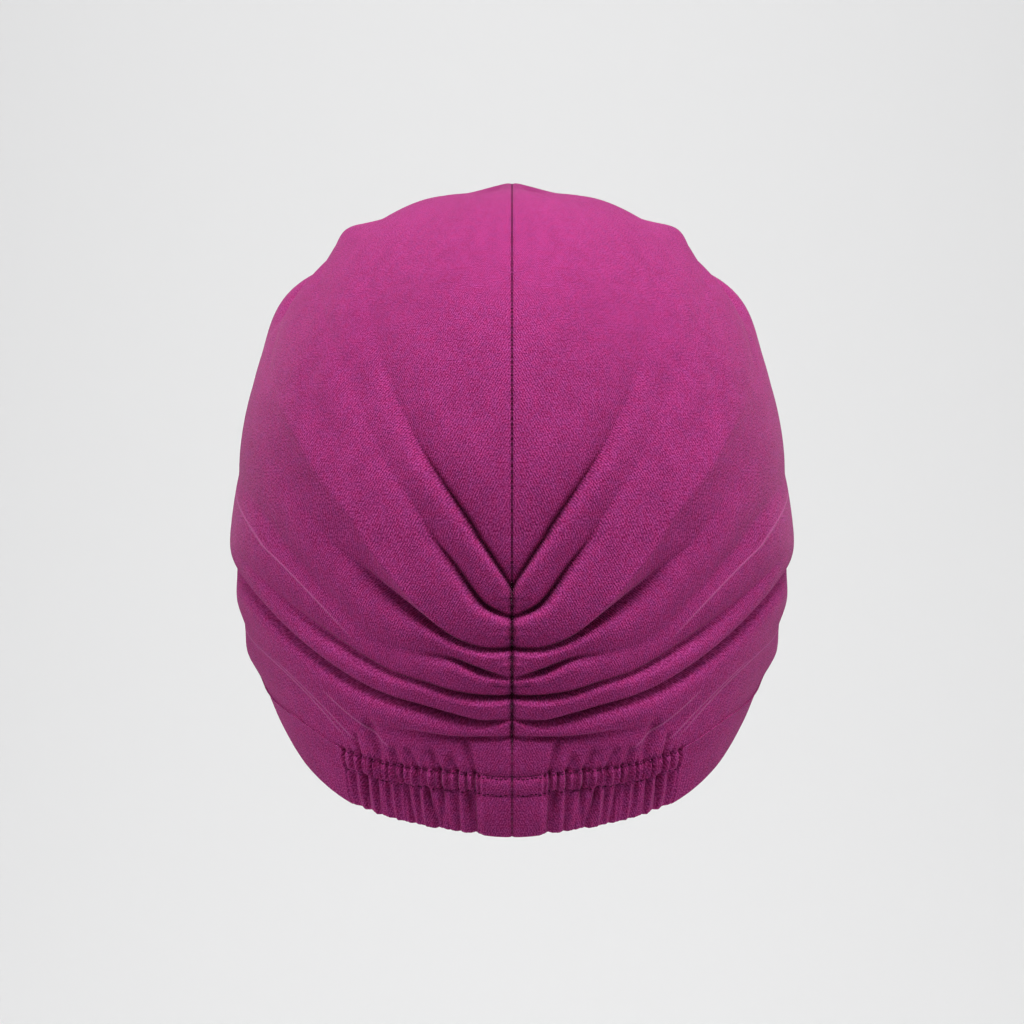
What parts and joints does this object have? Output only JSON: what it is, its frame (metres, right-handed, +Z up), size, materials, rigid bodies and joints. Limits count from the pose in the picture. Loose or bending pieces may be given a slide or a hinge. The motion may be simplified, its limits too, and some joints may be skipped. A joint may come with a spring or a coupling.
{
  "type": "turban",
  "caption": "Pull-on turban of stretch cloth with draped side folds, a centre seam ruched at the back and a gathered elastic casing at the nape.",
  "frame": {"origin": "middle of the head opening, where the turban sits on a head, level with the lower edge above the ears", "axes": "+Z up with the head upright, -Y towards the face, +X towards the wearer's left"},
  "size_m": [0.1832, 0.2045, 0.2],
  "materials": {
    "jersey": "matte"
  },
  "bodies": {
    "root": {"left_panel": "jersey", "right_panel": "jersey", "left_nape_casing": "jersey", "right_nape_casing": "jersey", "left_hem": "jersey", "right_hem": "jersey"}
  },
  "joints": []
}
